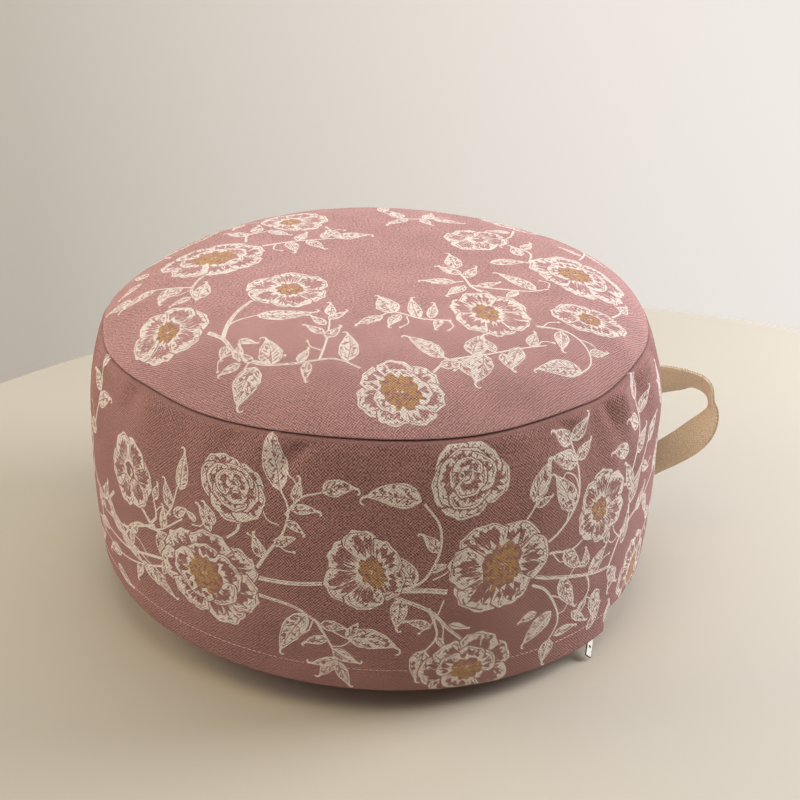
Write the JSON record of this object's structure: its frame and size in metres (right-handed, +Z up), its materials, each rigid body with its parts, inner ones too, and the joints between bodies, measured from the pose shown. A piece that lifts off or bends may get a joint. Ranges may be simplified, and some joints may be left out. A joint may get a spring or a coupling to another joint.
{
  "type": "round floor pouf with a carrying strap",
  "caption": "Round filled floor pouf in printed canvas, with a crowned top, a side band that laps over a zip, and a canvas strap for carrying it.",
  "frame": {"origin": "centre of the flat face on the bottom panel that the pouf rests on", "axes": "+Z up; +X from the pouf's axis towards the carrying strap; +Y completes a right-handed frame"},
  "size_m": [0.4724, 0.42, 0.2416],
  "materials": {
    "printed_canvas": "matt dusty rose canvas with a cream and ochre floral print",
    "ecru_canvas": "matt natural canvas, folded double and stitched",
    "zip_metal": "satin nickel"
  },
  "bodies": {
    "root": {"side_band_filled": "printed_canvas", "top_panel": "printed_canvas", "bottom_panel": "printed_canvas", "handle_strap": "ecru_canvas", "zip_slider": "zip_metal", "zip_pull": "zip_metal"}
  },
  "joints": []
}
